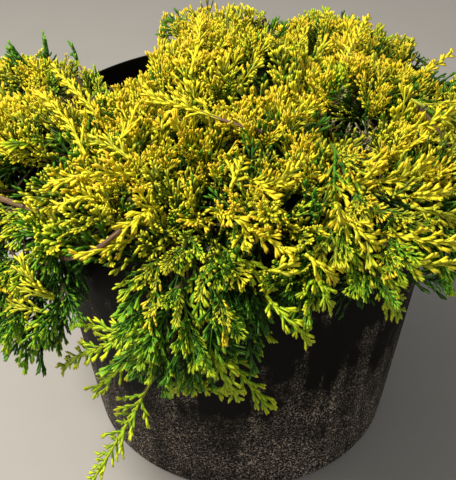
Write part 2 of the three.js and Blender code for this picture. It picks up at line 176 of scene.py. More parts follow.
# Bare stems that show at the left: a radius and a path. The bare foot of a laid shoot has its own radius.
LAID_STEM_RADIUS = 0.9
BARE_STEMS = [
    (1.6, [(-128, -44, 172), (-116, -58, 178), (-104, -70, 182), (-92, -80, 184)]),
    (1.1, [(-52, -118, 200), (-62, -122, 194), (-74, -112, 182), (-82, -98, 172)]),
]

BOUGH_WAYS = {
    "crown": [(30, 176)],
    "shoulder": [(46, 165.5)],
    "skirt": [(58, 155.5), (92, 169), (105.5, 184), (114.5, 182)],
}

# Sprays: how many lean away round the first one of a tuft, their sizes as shares of the full length, and how
# they lean, start further back and turn. The leaves of a shoot are finer.
SPRAY_LENGTH = 41
SPRAY_WIDTH = 17
SIDE_SPRAYS = {"crest": 7, "crown": 6, "shoulder": 5, "skirt": 5}
SPRAY_SIZES = (0.86, 1.04)
SIDE_SIZES = (0.74, 0.95)
SIDE_LEAN = (15, 34)
SIDE_SETBACK = (0.02, 0.30)
FACING_SCATTER = 0.38
SLIM_SHARE = 0.24
LEAF_LENGTH = 6.6
LEAF_RADIUS = 1.0
LEAF_SPACING = 3.4
SHOOT_FINENESS = 0.82
SHOOT_BRANCH_SPACING = 4.6
PIECE_LIMIT = 190000

# The first seeds of bare stems, long shoots and laid shoots
STEM_SEED = 60
SHOOT_SEED = 200
LAID_SEED = 300

# A leaf is a spindle with a blunt end: a ring at its root, a wider ring near its tip, and a point.
SPINDLE_ROOT = 0.66
SPINDLE_WAIST = 0.76
SPINDLE_THINNESS = 0.82

# A tuft grows where a way from its mass's middle keeps the least own share of its run to the skin, and a spray
# where its tip has the least room from other masses. Under either of the last two a spray is buried: it has a
# spare shape and a deep tint, which is painted shade.
LEAST_OWN_SHARE = 0.45
LEAST_ROOM = 0.62
LEAST_OPEN_AIR = 0.2
BURIED_DEPTH = 0.6

# Dried-back sprays: how many are left out, how many of the rest are dead, and their size.
BARE_SHARE = 0.45
DEAD_SHARE = 0.6
DEAD_SIZE = 0.62

# Spots where sprays have died back and show dry twigs, as a place and a radius.
HOLLOWS = [((51, -42, 212), 16), ((-16, -101, 205), 12), ((-83, 13, 192), 18)]

# Spots that the sun reaches less, where sprays are painted more green and darker as painted shade: a place, a
# radius and how much more green.
PAINTED_SHADE_SPOTS = [
    ((-7, -37, 212), 20, 0.6),
    ((51, -56, 196), 17, 0.6),
    ((46, -24, 219), 12, 0.6),
    ((20, -114, 200), 22, 0.6),
    ((-96, -92, 184), 26, 0.6),
    ((70, -118, 174), 42, 0.55),
    ((-89, -53, 190), 28, 0.6),
    ((-107, -45, 179), 24, 0.6),
    ((-70, -100, 190), 40, 0.45),
    ((-42, -118, 188), 44, 0.32),
    ((2, -128, 184), 36, 0.25),
    ((-83, 13, 192), 32, 0.6),
    ((56, -132, 184), 42, 1.0),
]

# How golden a spray is: an amount for its height in two stretches, for how far it faces the sun, for how
# clear it is of other masses, for the patch that it is in and for chance. The limits then give its kind. The
# gold is partly the plant's own colour and partly painted light: high sprays, sprays that face the light and
# sprays clear of other masses are painted lighter, and low sprays and those between masses darker and more
# green.
SUN_WAY = (-0.45, -0.25, 0.86)
LEAST_GOLD = -0.24
HEIGHT_GOLD = 0.66
LOW_HEIGHTS = (150, 200)
TOP_GOLD = 0.12
TOP_HEIGHTS = (205, 230)
SUN_SIDE_PAINTED_LIGHT = 0.31
CLEAR_GOLD = 0.36
PATCH_GOLD = 0.19
PATCH_SIZE = 60
CHANCE_GOLD = 0.15
# Skirt sprays are painted a little darker as painted shade, and take only a share of the spots' painted shade.
SKIRT_LOSS = 0.14
SKIRT_PAINTED_SHADE_SHARE = 0.3
RUSTY_SHARE = 0.07
KIND_LIMITS = [
    (1.00, "bronzed"), (0.80, "golden"), (0.62, "sunlit"), (0.42, "bright"), (0.24, "fresh"),
    (-0.04, "limed"),
]

# Places that stay open: a slot between two skirt masses that shows the wall, a gap at the back left over the
# rim, the wall under the low right edge, the air over the crown's uneven edge, and the wall and air under the
# front of the drape, under its right half and beside the left lobe. Each is a start, an end and a radius.
OPEN_RUNS = [
    ((-66, -79, 143), (-60, -116, 171), 12),
    ((-55, -88, 150), (-52, -119, 173), 9),
    ((-64, -82, 122), (-60, -115, 150), 9),
    ((-72, -76, 118), (-68, -111, 146), 10),
    ((-75, -74, 99), (-70, -110, 130), 9),
    ((-84, -62, 68), (-77, -106, 106), 11),
    ((-72, 80, 176), (-60, -20, 222), 8),
    ((-60, 86, 178), (-50, -10, 223), 8),
    ((46, -94, 108), (38, -140, 151), 9),
    ((64, -83, 110), (53, -135, 157), 10),
    ((92, -52, 98), (71, -127, 163), 10),
    ((104, -59, 107), (84, -118, 157), 10),
    ((-43, -20, 249), (-50, 80, 208), 8),
    ((-32, -40, 252), (-38, 90, 198), 7),
    ((-26, -40, 258), (-29, 90, 206), 6),
    ((9, -20, 250), (16, 90, 206), 8),
    ((16, -20, 249), (25, 90, 204), 8),
    ((22, -20, 253), (36, 120, 198), 6),
    ((34, -20, 252), (47, 90, 208), 8),
    ((-2, 114, 201), (36, 126, 196), 13),
    ((12, 140, 196), (32, 144, 194), 8),
    ((18, 96, 208), (28, 112, 210), 8),
    ((82, -40, 242), (122, 110, 174), 9),
    ((87, -60, 240), (136, 110, 159), 9),
    ((-21, -107, 92), (-20, -151, 138), 6),
    ((-10, -108, 93), (-11, -152, 138), 6),
    ((1, -109, 96), (-2, -152, 140), 6),
    ((7, -109, 110), (4, -152, 153), 6),
    ((-5, -109, 109), (-6, -152, 151), 3),
    ((-54, -95, 81), (-48, -144, 132), 5),
    ((35, -98, 126), (27, -150, 173), 9),
    ((43, -95, 123), (33, -148, 171), 9),
    ((51, -91, 126), (39, -147, 175), 9),
    ((59, -86, 122), (45, -145, 174), 9),
    ((69, -78, 106), (53, -143, 164), 8),
    ((79, -68, 97), (59, -140, 162), 8),
    ((90, -53, 100), (65, -138, 173), 10),
    ((15, -108, 117), (11, -152, 159), 4),
    ((-91, -62, 86), (-74, -140, 158), 7),
    ((-102, -40, 53), (-80, -136, 145), 6),
    ((-88, -65, 74), (-73, -140, 146), 5),
]

# Camera, from the photograph's perspective
CAMERA_PLACE = (-15.6, -411.3, 408.1)
CAMERA_PITCH = 36.15
CAMERA_YAW = 1.19
CAMERA_ROLL = -0.77
CAMERA_LENS = 67.5
CAMERA_SENSOR = 36

# Light and floor: each light's name, place in metres, size, power and colour
LIT_POINT = (0, 0, 0.12)
LIGHTS = [
    ("key", (-0.66, -0.26, 1.15), 0.36, 28, (1.0, 0.965, 0.91)),
    ("fill", (0.9, -1.1, 0.9), 1.4, 2.5, (0.92, 0.96, 1.0)),
]
SKY_COLOUR = (0.90, 0.91, 0.92)
SKY_STRENGTH = 0.42
FLOOR_TONES = ((0.315, 0.295, 0.262), (0.345, 0.322, 0.288))
FLOOR_HALF = 15000
FLOOR_LEVEL = -0.4


# Small helpers


def unit(vector):
    return vector / np.linalg.norm(vector)


def mix(a, b, share):
    return a + (b - a) * share


def smooth(value, low, high):
    share = np.clip((value - low) / (high - low), 0, 1)
    return share * share * (3 - 2 * share)


def seeded(seed):
    """The same row of numbers for the same seed, as in the part's source."""
    whole = 0xFFFFFFFF
    state = seed & whole

    def draw():
        nonlocal state
        state = (state + 0x6D2B79F5) & whole
        t = ((state ^ (state >> 15)) * (state | 1)) & whole
        t ^= (t + (((t ^ (t >> 7)) * (t | 61)) & whole)) & whole
        return (t ^ (t >> 14)) / 4294967296

    return draw


def turned(vector, axis, angle):
    """vector turned about a unit axis."""
    return (
        vector * math.cos(angle)
        + np.cross(axis, vector) * math.sin(angle)
        + axis * np.dot(axis, vector) * (1 - math.cos(angle))
    )


def lengths_along(points):
    """How far along a row of points each one lies."""
    return np.concatenate([[0], np.cumsum(np.linalg.norm(np.diff(points, axis=0), axis=1))])


def tube_faces(rings, sides):
    """Triangles of a tube of rings. Its ends close on two more corners, which come after the rings."""
    faces = []
    for i in range(rings - 1):
        for k in range(sides):
            a = i * sides + k
            b = i * sides + (k + 1) % sides
            faces += [(a, b, b + sides), (a, b + sides, a + sides)]
    last, start = (rings - 1) * sides, rings * sides
    for k in range(sides):
        b = (k + 1) % sides
        faces += [(start, b, k), (start + 1, last + k, last + b)]
    return faces


def link(name, data):
    """A new object of some data, in the scene."""
    made = bpy.data.objects.new(name, data)
    bpy.context.scene.collection.objects.link(made)
    return made


def mesh_object(name, corners, triangles, materials, slots=None):
    """An object at the origin from arrays: corners in millimetres, triangles and each one's material slot."""
    corners = np.asarray(corners, np.float32) * METRES
    triangles = np.asarray(triangles, np.int32)
    mesh = bpy.data.meshes.new(name)
    mesh.vertices.add(len(corners))
    mesh.vertices.foreach_set("co", corners.ravel())
    mesh.loops.add(triangles.size)
    mesh.loops.foreach_set("vertex_index", triangles.ravel())
    mesh.polygons.add(len(triangles))
    mesh.polygons.foreach_set("loop_start", np.arange(0, triangles.size, triangles.shape[1], dtype=np.int32))
    mesh.polygons.foreach_set("use_smooth", np.full(len(triangles), True))
    for material in materials:
        mesh.materials.append(material)
    if slots is not None:
        mesh.polygons.foreach_set("material_index", np.asarray(slots, np.int32))
    mesh.update(calc_edges=True)
    mesh.validate()
    return link(name, mesh)


# Shader nodes


class Socket:
    """A shader socket that adds Math nodes when it is used in an expression."""

    def __init__(self, shader, socket):
        self.shader = shader
        self.socket = socket

    def _math(self, operation, a, b, clamp=False):
        return self.shader.node("Math", dict(operation=operation, use_clamp=clamp), {0: a, 1: b})

    def __add__(self, other):
        return self._math("ADD", self, other)

    def __radd__(self, other):
        return self._math("ADD", other, self)

    def __sub__(self, other):
        return self._math("SUBTRACT", self, other)

    def __rsub__(self, other):
        return self._math("SUBTRACT", other, self)

    def __mul__(self, other):
        return self._math("MULTIPLY", self, other)

    def clamped(self):
        return self._math("ADD", self, 0, clamp=True)

    def over(self, low, high):
        """0 below low, 1 above high, smooth in between."""
        values = {"Value": self, "From Min": low, "From Max": high}
        return self.shader.node("MapRange", dict(interpolation_type="SMOOTHSTEP"), values)


class Shader:
    """A material with one Principled shader, and the nodes that feed it."""

    def __init__(self, name):
        self.material = bpy.data.materials.new(name)
        self.material.use_nodes = True
        self.tree = self.material.node_tree
        self.tree.nodes.clear()
        output = self.tree.nodes.new("ShaderNodeOutputMaterial")
        self.surface = self.tree.nodes.new("ShaderNodeBsdfPrincipled")
        self.tree.links.new(self.surface.outputs[0], output.inputs["Surface"])

    def node(self, kind, settings=None, values=None, output=0):
        """A node of a kind: its settings first, then the values or links of its sockets."""
        made = self.tree.nodes.new("ShaderNode" + kind)
        for name, value in (settings or {}).items():
            setattr(made, name, value)
        for name, value in (values or {}).items():
            self._put(made.inputs[name], value)
        return Socket(self, made.outputs[output])

    def _put(self, socket, value):
        if isinstance(value, Socket):
            self.tree.links.new(value.socket, socket)
        elif socket.type == "RGBA":
            socket.default_value = (*value, 1)
        else:
            socket.default_value = value

    def finish(self, **values):
        """Sets the shader's own sockets, named with underscores for spaces."""
        for name, value in values.items():
            self._put(self.surface.inputs[name.replace("_", " ").title().replace("Ior", "IOR")], value)
        return self.material

    def place(self, stretch=(1, 1, 1)):
        """Object coordinates, stretched by a scale."""
        raw = self.node("TexCoord", output=3)
        return self.node("Mapping", None, {"Vector": raw, "Scale": stretch})

    def noise(self, size, detail=3.0, rough=0.55, stretch=(1, 1, 1)):
        """Noise whose spots are about size millimetres across."""
        return self.node("TexNoise", None, {
            "Vector": self.place(stretch), "Scale": 1 / (size * METRES), "Detail": detail, "Roughness": rough,
        })

    def blend(self, share, low, high):
        """A colour between low and high."""
        return self.node("Mix", dict(data_type="RGBA"), {0: share, 6: low, 7: high}, output=2)

    def bump(self, height, strength, distance):
        values = {"Height": height, "Strength": strength, "Distance": distance * METRES}
        return self.node("Bump", None, values)


def scuffed_plastic():
    """Black moulded plastic with pale specks of dust, most of them low, and water marks that run down."""
    shader = Shader("scuffed_black_plastic")
    height = shader.node("SeparateXYZ", None, {"Vector": shader.place()}, output=2) * (1 / METRES)
    low = 1 - height.over(10, 135)
    patches = shader.noise(34, detail=4)
    runs = shader.noise(8, detail=3, stretch=(1, 1, 0.10))
    specks = shader.noise(1.25, detail=3, rough=0.75)
    grains = shader.noise(0.65, detail=2, rough=0.7)
    amount = (low * 0.75 + patches.over(0.35, 0.7) * 0.5 + runs.over(0.4, 0.7) * 0.35 - 0.52).clamped()
    dust = (specks.over(0.54, 0.64) * 0.9 + grains.over(0.55, 0.66) * 0.6).clamped() * amount
    film = amount * 0.07 + runs.over(0.5, 0.75) * 0.02
    bare = shader.blend(film, (0.0026, 0.0023, 0.0018), (0.055, 0.044, 0.033))
    colour = shader.blend(dust, bare, (0.92, 0.77, 0.61))
    roughness = 0.55 + film * 0.9 + dust * 0.3
    relief = shader.noise(3.2, detail=4) * 0.5 + dust
    return shader.finish(
        base_color=colour,
        roughness=roughness.clamped(),
        specular_ior_level=0.06,
        normal=shader.bump(relief, 0.6, 0.4),
    )


def potting_soil():
    """Dark damp peat with paler fibre."""
    shader = Shader("potting_soil")
    clods = shader.noise(7, detail=6, rough=0.7)
    fibre = shader.noise(2, detail=3, stretch=(1, 0.3, 1))
    colour = shader.blend(clods.over(0.35, 0.7), (0.012, 0.008, 0.005), (0.07, 0.045, 0.028))
    colour = shader.blend(fibre.over(0.6, 0.72) * 0.6, colour, (0.19, 0.13, 0.08))
    return shader.finish(base_color=colour, roughness=0.95, normal=shader.bump(clods, 0.9, 2.5))


def bark():
    """Thin grey-brown bark that peels in strips along the limb. The pattern follows the limb's own UV map."""
    shader = Shader("peeling_bark")
    along = shader.node("Mapping", None, {"Vector": shader.node("UVMap"), "Scale": (26, 5, 1)})
    strips = shader.node("TexNoise", None, {"Vector": along, "Scale": 1.0, "Detail": 5.0})
    patches = shader.noise(9, detail=3)
    colour = shader.blend(strips.over(0.38, 0.62), (0.045, 0.022, 0.010), (0.25, 0.14, 0.065))
    colour = shader.blend(patches.over(0.55, 0.75) * 0.5, colour, (0.28, 0.205, 0.125))
    return shader.finish(base_color=colour, roughness=0.9, normal=shader.bump(strips, 0.8, 0.8))


def plain(name, colour, roughness):
    """One plain tint for leaves or twigs."""
    return Shader(name).finish(base_color=colour, roughness=roughness, specular_ior_level=0.24)


LEAF_ROUGHNESS = 0.5
TWIG_ROUGHNESS = 0.8
TWIG_COLOUR = (0.095, 0.062, 0.030)
TINTS = {
    "amber": (0.66, 0.44, 0.018),
    "gold": (0.71, 0.58, 0.016),
    "lemon": (0.65, 0.59, 0.020),
    "chartreuse": (0.45, 0.46, 0.015),
    "olive": (0.31, 0.31, 0.013),
    "olive_green": (0.085, 0.145, 0.009),
    "fresh_lime": (0.52, 0.60, 0.012),
    "lime_tip": (0.37, 0.48, 0.012),
    "lime": (0.150, 0.32, 0.008),
    "leaf_green": (0.066, 0.195, 0.006),
    "deep_green": (0.026, 0.092, 0.005),
    "dusk_green": (0.013, 0.042, 0.004),
    "grey_green": (0.120, 0.150, 0.055),
    "dry_grey": (0.28, 0.245, 0.13),
    "dry_brown": (0.14, 0.08, 0.026),
}

# The tint of a leaf in each kind of spray, from the deepest to the furthest tip.
KINDS = {
    "bronzed": ("olive_green", "chartreuse", "lemon", "gold", "amber"),
    "golden": ("olive_green", "olive", "chartreuse", "lemon", "gold"),
    "sunlit": ("leaf_green", "olive_green", "olive", "chartreuse", "lemon"),
    "bright": ("deep_green", "olive_green", "lime", "lime_tip", "lemon"),
    "fresh": ("deep_green", "leaf_green", "lime", "lime_tip", "lime_tip"),
    "limed": ("dusk_green", "deep_green", "leaf_green", "lime", "lime_tip"),
    "shaded": ("dusk_green", "deep_green", "deep_green", "leaf_green", "leaf_green"),
    "olive": ("dusk_green", "olive_green", "olive_green", "olive", "chartreuse"),
    "rusty": ("deep_green", "leaf_green", "olive", "gold", "amber"),
    # The inner kind's dark greens are painted shade for sprays deep in a mass.
    "inner": ("dusk_green", "dusk_green", "dusk_green", "deep_green", "deep_green"),
    "lime_shoot": ("leaf_green", "lime", "lime_tip", "lime_tip", "lemon"),
    "sun_shoot": ("leaf_green", "olive", "chartreuse", "lemon", "lemon"),
    "bright_shoot": ("lime", "lime", "lime_tip", "fresh_lime", "lemon"),
    "green_shoot": ("dusk_green", "deep_green", "deep_green", "leaf_green", "lime"),
    "gold_shoot": ("olive", "chartreuse", "lemon", "gold", "amber"),
    "dead": ("dry_brown", "dry_brown", "grey_green", "dry_grey", "dry_grey"),
    "dry": ("dry_brown", "dry_brown", "dry_brown", "grey_green", "dry_grey"),
}


# The plant's rule


def trunk_at(height):
    """Middle and radius of the trunk at a height above the soil."""
    share = min(max(height / TRUNK_HEIGHT, 0), 1)
    flare = max(0, 1 - height / FLARE_HEIGHT)
    radius = mix(TRUNK_RADIUS, TRUNK_TIP_RADIUS, share) + (FLARE_RADIUS - TRUNK_RADIUS) * flare * flare
    middle = np.array([0, 0, SOIL_TOP + SEAT_GAP + height]) + TRUNK_LEAN * share
    return middle, radius


def lobe_at(tier, azimuth, change):
    """How much the lobes change one thing of a tier at an azimuth."""
    total = 0.0
    for lobe in LOBES:
        if lobe["tier"] == tier.name:
            away = (azimuth - lobe["azimuth"] + 540) % 360 - 180
            total += lobe[change] * math.exp(-((away / lobe["spread"]) ** 2))
    return total


def crown_masses():
    """Each mass: its middle, the way it grows, its three half sizes, and its seed."""
    masses = []
    for row, settings in enumerate(TIERS):
        tier = SimpleNamespace(**settings)
        for i in range(tier.count):
            draw = seeded(1000 * (row + 1) + 37 * i + 5)
            step = (tier.end - tier.start) / (tier.count - 1) if tier.count > 1 else 0
            azimuth = tier.start + i * step
            angle = math.radians(azimuth)
            outward = np.array([math.cos(angle), math.sin(angle), 0.0])
            across = np.array([-math.sin(angle), math.cos(angle), 0.0])
            level = tier.level + lobe_at(tier, azimuth, "raised") + 4 * (draw() - 0.5)
            rise = math.radians(tier.rise + (draw() - 0.5) * 10)
            grow = outward * math.cos(rise) + UP * math.sin(rise)
            size = (0.96 + 0.08 * draw()) * (1 + lobe_at(tier, azimuth, "grow"))
            out = tier.out + lobe_at(tier, azimuth, "out") + 5 * (draw() - 0.5)
            if tier.bough_radius > 0:
                middle = outward * out + UP * level
            else:
                middle = trunk_at(TRUNK_HEIGHT)[0] + UP * 2 * SEAT_GAP + grow * tier.foot * tier.reach * size
            flat = 1 + lobe_at(tier, azimuth, "flat")
            masses.append(SimpleNamespace(
                name=f"{tier.name}_{i + 1}" if tier.count > 1 else tier.name,
                tier=tier, azimuth=azimuth, middle=middle, outward=outward, across=across,
                grow=grow, normal=np.cross(grow, across),
                half=np.array([tier.reach * size, tier.wide * size, tier.thick * size * flat]),
                seed=7000 + 100 * row + i,
            ))
    return masses


def depth_in(mass, points):
    """How far points lie from a mass's middle, in its half sizes: 1 is on its skin."""
    away = np.atleast_2d(points) - mass.middle
    shares = np.abs(away @ np.array([mass.grow, mass.across, mass.normal]).T) / mass.half
    return (shares**FULLNESS).sum(1) ** (1 / FULLNESS)


def skin_run(mass, way):
    """How far a line from a mass's middle runs to its skin."""
    return 1 / depth_in(mass, mass.middle + way)[0]


def own_run(mass, masses, way):
    """How far a line from a mass's middle runs on the mass's own side of its neighbours and the pot."""
    runs = [1e3]
    for other in masses:
        if other is mass:
            continue
        line = other.middle - mass.middle
        distance = np.linalg.norm(line)
        share = mass.half[1] / (mass.half[1] + other.half[1])
        toward = way @ line / distance
        if toward > 0:
            runs.append((distance * share - CLEARANCE) / toward)
    if mass.tier.name == "skirt":
        inward = -(way @ mass.outward)
        if inward > 0:
            runs.append((mass.middle @ mass.outward - RIM_RADIUS - CLEARANCE) / inward)
        if way[2] < 0:
            runs.append((mass.middle[2] - LOWEST_LEAF) / -way[2])
    elif way[2] < 0:
        runs.append((mass.middle[2] - POT_HEIGHT - CLEARANCE) / -way[2])
    return max(0.0, min(runs))


def foot_of(mass):
    return mass.middle - mass.grow * mass.tier.foot * mass.half[0]


def between(t, a, b, start, end):
    """The place at t on the line that is at a when t is start and at b when t is end."""
    return a * (end - t) / (end - start) + b * (t - start) / (end - start)


def centripetal(points, count):
    """count + 1 points evenly spaced along the centripetal curve through points."""
    points = [np.asarray(point, float) for point in points]
    ends = [2 * points[0] - points[1], *points, 2 * points[-1] - points[-2]]
    dense = []
    for i in range(1, len(ends) - 2):
        p0, p1, p2, p3 = ends[i - 1:i + 3]
        t1 = max(np.linalg.norm(p1 - p0) ** 0.5, 1e-4)
        t2 = t1 + max(np.linalg.norm(p2 - p1) ** 0.5, 1e-4)
        t3 = t2 + max(np.linalg.norm(p3 - p2) ** 0.5, 1e-4)
        for t in np.linspace(t1, t2, 24, endpoint=False):
            a1, a2, a3 = between(t, p0, p1, 0, t1), between(t, p1, p2, t1, t2), between(t, p2, p3, t2, t3)
            b1, b2 = between(t, a1, a2, 0, t2), between(t, a2, a3, t1, t3)
            dense.append(between(t, b1, b2, t1, t2))
    dense.append(points[-1])
    return even_points(np.array(dense), count)


def even_points(dense, count):
    """count + 1 points evenly spaced along a dense row of points."""
    run = lengths_along(dense)
    wanted = np.linspace(0, run[-1], count + 1)
    return np.array([np.interp(wanted, run, dense[:, k]) for k in range(3)]).T


def bough_for(mass):
    """Points and radii of the bough that carries a mass."""
    tier = mass.tier
    draw = seeded(mass.seed + 50)
    middle, radius = trunk_at(tier.whorl)
    tip = foot_of(mass) - mass.grow * (SEAT_GAP + 0.2)
    slope = abs(TRUNK_RADIUS - TRUNK_TIP_RADIUS - TRUNK_LEAN @ mass.outward) / TRUNK_HEIGHT
    reach = radius / math.cos(math.pi / TRUNK_SIDES) + slope * tier.bough_radius
    start = middle + mass.outward * (reach + SEAT_GAP)
    level = start + mass.outward * 4
    sway = 5 * (draw() - 0.5)
    on_way = [
        mass.outward * r + UP * z + mass.across * (sway if i == 0 else 0)
        for i, (r, z) in enumerate(BOUGH_WAYS[tier.name])
    ]
    # The bough starts inside the trunk here, since both are one piece of bark.
    points = np.vstack([start - mass.outward * 3, centripetal([level, *on_way, tip], 8 * len(on_way) + 8)])
    tip_radius = max(1.2, tier.bough_radius * 0.55)
    radii = np.linspace(tier.bough_radius, tip_radius, len(points))
    return SimpleNamespace(mass=mass, points=points, radii=radii)


# Limbs with bark

BARK_WAVES = (2, 3, 5, 7, 9)
BARK_TILE = 40

# Sides round a limb and how far its ridges stand out, as a share of its radius
TRUNK_BARK = (40, 0.07)
BOUGH_BARK = (12, 0.12)
STEM_BARK = (8, 0.14)
TRUNK_CORE = 0.97
TRUNK_TWIST = 0.3


def bark_tube(points, radii, seed, sides, relief, turns=1.0):
    """A closed tube with ridges that run along it and twist a little: corners, faces and corner UVs."""
    draw = np.random.default_rng(seed)
    waves = [
        (n, draw.uniform(0.4, 1.0) / n**0.5, draw.uniform(0, 6.3), draw.uniform(-2, 2) * turns)
        for n in BARK_WAVES
    ]
    run = lengths_along(points) / BARK_TILE
    side = None
    corners, uvs = [], []
    for i, point in enumerate(points):
        along = unit(points[min(i + 1, len(points) - 1)] - points[max(i - 1, 0)])
        if side is None:
            side = np.cross(along, UP if abs(along[2]) < 0.9 else np.array([1.0, 0, 0]))
        side = unit(side - along * (side @ along))
        other = np.cross(along, side)
        for k in range(sides):
            turn = 2 * math.pi * k / sides
            ridge = sum(size * math.sin(n * turn + phase + twist * run[i]) for n, size, phase, twist in waves)
            radius = radii[i] * (1 + relief * (ridge * 0.4 + draw.normal(0, 0.25)))
            corners.append(point + side * radius * math.cos(turn) + other * radius * math.sin(turn))
            uvs.append((k / sides, run[i]))
    corners += [points[0], points[-1]]
    uvs += [(0.5, 0), (0.5, run[-1])]
    return np.array(corners), np.array(tube_faces(len(points), sides)), np.array(uvs)


def joined(parts):
    """Several (corners, faces, ...) joined into one, with the faces' numbers moved on."""
    moved, before = [], 0
    for part in parts:
        moved.append(part[1] + before)
        before += len(part[0])
    rest = [np.concatenate([part[k] for part in parts]) for k in range(2, len(parts[0]))]
    return [np.concatenate([part[0] for part in parts]), np.concatenate(moved), *rest]


def trunk_and_boughs(boughs, material):
    """One mesh of bark: the trunk, the boughs and the bare stems, with a UV map that follows each of them."""
    above_flare = np.linspace(FLARE_HEIGHT, TRUNK_HEIGHT, 26)[1:]
    heights = np.concatenate([np.linspace(0, FLARE_HEIGHT, 7), above_flare])
    middles, radii = zip(*(trunk_at(height) for height in heights))
    parts = [bark_tube(np.array(middles), np.array(radii) * TRUNK_CORE, 3, *TRUNK_BARK, TRUNK_TWIST)]
    for bough in boughs:
        steps = 40 if bough.mass.tier.name == "skirt" else 24
        radii = np.interp(np.linspace(0, 1, steps + 1), np.linspace(0, 1, len(bough.radii)), bough.radii)
        parts.append(bark_tube(even_points(bough.points, steps), radii, bough.mass.seed, *BOUGH_BARK))
    for i, (points, radii) in enumerate(bare_stems()):
        parts.append(bark_tube(points, radii, STEM_SEED + i, *STEM_BARK))
    corners, faces, uvs = joined(parts)
    made = mesh_object("trunk_and_boughs", corners, faces, [material])
    layer = made.data.uv_layers.new(name="UVMap")
    layer.data.foreach_set("uv", uvs[faces.ravel()].astype(np.float32).ravel())
    return made


# Sprays of scale leaves


def ring_round(along, side, sides, thinness=1.0):
    """Places round a direction, on a circle about it that is thinned across."""
    turn = np.arange(sides) * 2 * math.pi / sides
    return np.cos(turn)[:, None] * side + np.sin(turn)[:, None] * np.cross(along, side) * thinness


def spindle(root, tip, radius, flat, sides):
    """Corners, triangles and tint steps of one plump leaf. Its further part is one tint step lighter."""
    along = unit(tip - root)
    ring = ring_round(along, unit(np.cross(flat, along)), sides, SPINDLE_THINNESS)
    waist = mix(root, tip, SPINDLE_WAIST) + ring * radius
    corners = np.vstack([root + ring * radius * SPINDLE_ROOT, waist, tip])
    k = np.arange(sides)
    after = (k + 1) % sides
    wall = np.concatenate([
        np.stack([k, after, after + sides], 1), np.stack([k, after + sides, k + sides], 1),
    ])
    point = np.stack([k + sides, after + sides, np.full(sides, 2 * sides)], 1)
    cap = np.array([(0, i + 1, i) for i in range(1, sides - 1)])
    step = np.concatenate([np.zeros(len(wall) + len(cap), int), np.ones(len(point), int)])
    return corners, np.concatenate([wall, cap, point]), step


def stem(root, tip, radius, tip_radius):
    """Corners, triangles and tint steps of a straight tapered stem with three sides."""
    along = unit(tip - root)
    ring = ring_round(along, unit(np.cross(along, np.array([0.3, 0.1, 1.0]))), 3)
    faces = []
    for k in range(3):
        b = (k + 1) % 3
        faces += [(k, b, b + 3), (k, b + 3, k + 3)]
    faces += [(0, 2, 1), (3, 4, 5)]
    corners = np.vstack([root + ring * radius, tip + ring * tip_radius])
    return corners, np.array(faces), np.zeros(len(faces), int)


def spray_shape(seed, branches, length, width, fullness=1.0, sides=3, fine=1.0, is_shoot=False):
    """One spray that grows along X from the origin, spread in the XY plane: corners, triangles, tint steps.

    Side branches leave the axis by turns, each with a tip leaf and shorter leaves by turns on it. Lengths are
    in millimetres, and tint steps run from 0, deep, to 4, the furthest tips. A shoot is a long spray that is
    widest at its foot, with leaves on its axis too. fine scales its leaves.
    """
    draw = np.random.default_rng(seed)
    sizes = (LEAF_LENGTH, LEAF_RADIUS, LEAF_SPACING)
    leaf_length, leaf_radius, leaf_spacing = (size * fine for size in sizes)
    sag = 0 if is_shoot else draw.uniform(-0.004, 0.010)
    parts = []

    def add(made, base):
        """Adds a part in its tint step, arched with the spray."""
        corners, faces, step = made
        corners = np.array([(x, y, z - sag * x**2 / 2) for x, y, z in corners])
        parts.append((corners, faces, np.clip(step + base, 0, 4)))

    def leaf(root, tip, radius, base):
        add(spindle(root, tip, radius, UP, sides), base)

    stretches = 8 if is_shoot else 2
    axis = [np.array([x, 0, 0]) for x in np.linspace(0, length - leaf_length * 0.6, stretches + 1)]
    for i in range(stretches):
        taper = 0.3 * i / stretches
        add(stem(axis[i], axis[i + 1], 1.0 - taper, 0.9 - taper), 2 if is_shoot else 1 + i)
    leaf(np.array([length - leaf_length * 1.1, 0, 0]), np.array([length, 0, 0]), leaf_radius, 3)
    if is_shoot:
        for i, x in enumerate(np.arange(length * 0.08, length - leaf_length, leaf_spacing)):
            turn = (1 if i % 2 else -1) * math.radians(draw.uniform(6, 15))
            own = unit(np.array([math.cos(turn), math.sin(turn), draw.uniform(0.0, 0.25)]))
            leaf(np.array([x, 0, 0.3]), np.array([x, 0, 0.3]) + own * leaf_length, leaf_radius, 2)
    for i in range(branches):
        share = (i + 0.5) / branches
        place = np.array([length * mix(0.08, 0.92, share), 0, 0])
        angle = (1 if i % 2 else -1) * math.radians(mix(36, 20, share) + draw.uniform(-5, 5))
        if is_shoot:
            envelope = mix(1, 0.3, share**0.8)
        else:
            envelope = math.sin(math.pi * (0.24 + 0.66 * share)) ** 0.7
        reach = width / 2 / math.sin(abs(angle)) * envelope * draw.uniform(0.85, 1.12)
        reach = min(max(reach, leaf_length), length * 1.05 - place[0])
        lift = draw.uniform(-0.25, 0.35)
        way = unit(np.array([math.cos(angle), math.sin(angle), lift]))
        tip = place + way * reach
        tone = int(np.clip(round(mix(1.9, 3.6, share) + draw.uniform(-0.6, 0.6)), 1, 3))
        if is_shoot:
            tone = 3
        leaf(tip - way * min(leaf_length, reach), tip, leaf_radius, tone)
        if reach > leaf_length * 1.15:
            add(stem(place, tip - way * leaf_length * 0.8, 0.8, 0.65), max(0, tone - 2))
        leaves = int((reach - leaf_length * 0.5) / leaf_spacing * fullness)
        for j in range(leaves):
            at = place + way * (leaf_length * 0.2 + (reach - leaf_length * 0.8) * (j + 0.4) / max(leaves, 1))
            turn = angle + (1 if j % 2 else -1) * math.radians(draw.uniform(9, 20))
            own = unit(np.array([math.cos(turn), math.sin(turn), lift + draw.uniform(-0.25, 0.35)]))
            size = leaf_length * draw.uniform(0.75, 1.0)
            inner = 1 if (j + 0.5) / leaves < 0.5 else 0
            leaf(at, at + own * size, leaf_radius * 0.95, max(0, tone - inner))
    return joined(parts)


